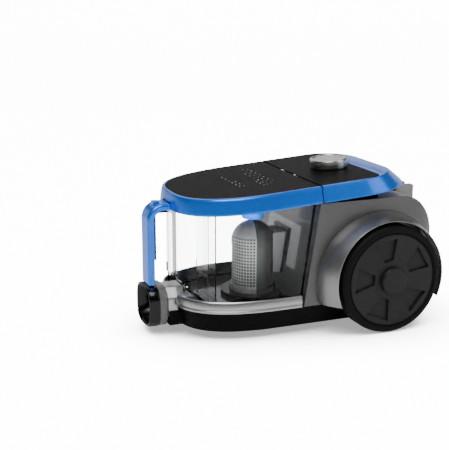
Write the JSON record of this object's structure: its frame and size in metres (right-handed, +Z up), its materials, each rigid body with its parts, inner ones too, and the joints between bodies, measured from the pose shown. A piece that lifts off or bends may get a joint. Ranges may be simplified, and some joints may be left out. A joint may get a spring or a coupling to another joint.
{
  "type": "canister vacuum cleaner",
  "caption": "Bagless canister vacuum cleaner body with lift-off clear dust bin, hinged lid, power knob, large rear wheels, front caster and round hose inlet.",
  "frame": {"origin": "floor level under the middle of the overall box", "axes": "+X towards the rear wheels, the hose inlet faces -X; +Y towards the right-hand wheel; +Z up"},
  "size_m": [0.412, 0.276, 0.2247],
  "materials": {
    "blue_gloss": "satin blue moulded plastic",
    "charcoal_panel": "matte",
    "grey_metallic": "metallic grey paint",
    "silver_trim": "satin silver paint",
    "black_plastic": "fine matte",
    "gloss_black": "glossy black",
    "clear_plastic": "clear moulded plastic",
    "dark_rubber": "soft rubber",
    "wheel_plastic": "matte",
    "brushed_metal": "brushed",
    "steel": "plain steel",
    "copper_iron": "laminated core",
    "foam": "open-cell foam",
    "paper_filter": "pleated filter cloth",
    "circuit_green": "coated board",
    "grey_plastic": "matte grey",
    "smoke_plastic": "satin grey"
  },
  "bodies": {
    "main_body": {"body_rim": "blue_gloss", "body_panel": "charcoal_panel", "top_deck": "black_plastic", "speed_control": "black_plastic", "control_board": "circuit_green", "main_shell": "grey_metallic", "left_fender": "silver_trim", "right_fender": "silver_trim", "lower_base": "black_plastic", "bin_tray": "black_plastic", "left_base_band": "silver_trim", "right_base_band": "silver_trim", "inlet_collar": "gloss_black", "inlet_ring": "smoke_plastic", "inlet_duct": "silver_trim", "inlet_gasket": "dark_rubber", "left_axle": "steel", "right_axle": "steel", "caster_cup": "black_plastic", "outlet_seal": "dark_rubber", "motor_filter_frame": "grey_plastic", "motor_filter": "foam", "fan_housing": "steel", "motor_can": "steel", "motor_bearing": "steel", "reel_case": "grey_plastic", "cord_outlet": "black_plastic", "exhaust_filter": "paper_filter", "parking_bracket": "grey_plastic"},
    "dust_bin": {"bin_shell": "clear_plastic", "filter_base": "clear_plastic", "mesh_filter": "silver_trim", "outlet_duct": "smoke_plastic", "inlet_riser": "clear_plastic", "bin_handle": "blue_gloss", "handle_frame": "clear_plastic", "handle_screws": "steel", "lid_hinge_pins": "steel"},
    "lid": {"lid_rim": "blue_gloss", "lid_panel": "charcoal_panel", "lid_seal": "dark_rubber"},
    "bin_release": {"release_button": "blue_gloss"},
    "left_wheel": {"left_tyre": "dark_rubber", "left_wheel_disc": "wheel_plastic", "left_hub_cap": "wheel_plastic"},
    "right_wheel": {"right_tyre": "dark_rubber", "right_wheel_disc": "wheel_plastic", "right_hub_cap": "wheel_plastic"},
    "front_caster": {"caster_fork": "black_plastic"},
    "front_wheel": {"caster_wheel": "dark_rubber"},
    "power_knob": {"speed_knob": "brushed_metal", "knob_shaft": "steel"},
    "motor_rotor": {"motor_armature": "copper_iron", "fan": "brushed_metal"},
    "cord_drum": {"cord_reel": "black_plastic"},
    "exhaust_door": {"exhaust_grille": "grey_metallic"}
  },
  "joints": [
    {"name": "left_wheel_spin", "type": "hinge", "parent": "main_body", "child": "left_wheel", "pos_m": [0.106, -0.115, 0.075], "axis": [0, 1, 0], "continuous": true},
    {"name": "right_wheel_spin", "type": "hinge", "parent": "main_body", "child": "right_wheel", "pos_m": [0.106, 0.115, 0.075], "axis": [0, 1, 0], "continuous": true},
    {"name": "caster_swivel", "type": "hinge", "parent": "main_body", "child": "front_caster", "pos_m": [-0.116, 0, 0.028], "axis": [0, 0, 1], "continuous": true},
    {"name": "caster_wheel_spin", "type": "hinge", "parent": "front_caster", "child": "front_wheel", "pos_m": [-0.11, 0, 0.012], "axis": [0, 1, 0], "continuous": true},
    {"name": "power_knob_turn", "type": "hinge", "parent": "main_body", "child": "power_knob", "pos_m": [0.07386, 0, 0.20972], "axis": [-0.068, 0, 0.9977], "range_deg": [-135, 135]},
    {"name": "dust_bin_lift", "type": "slide", "parent": "main_body", "child": "dust_bin", "axis": [0, 0, 1], "range_m": [0, 0.24]},
    {"name": "lid_hinge", "type": "hinge", "parent": "dust_bin", "child": "lid", "pos_m": [0.0121, 0, 0.204], "axis": [0, 1, 0], "range_deg": [0, 80]},
    {"name": "release_button_press", "type": "slide", "parent": "dust_bin", "child": "bin_release", "axis": [0, 0, -1], "range_m": [0, 0.0025], "stiffness_N_per_m": 400, "springref_m": -0.001},
    {"name": "exhaust_grille_hinge", "type": "hinge", "parent": "main_body", "child": "exhaust_door", "pos_m": [0.206, 0, 0.062], "axis": [0, 1, 0], "range_deg": [0, 75]},
    {"name": "motor_spin", "type": "hinge", "parent": "main_body", "child": "motor_rotor", "pos_m": [0.06, -0.034, 0.092], "axis": [1, 0, 0], "continuous": true},
    {"name": "cord_reel_turn", "type": "hinge", "parent": "main_body", "child": "cord_drum", "pos_m": [0.104, 0.055, 0.088], "axis": [0, 1, 0], "continuous": true}
  ]
}
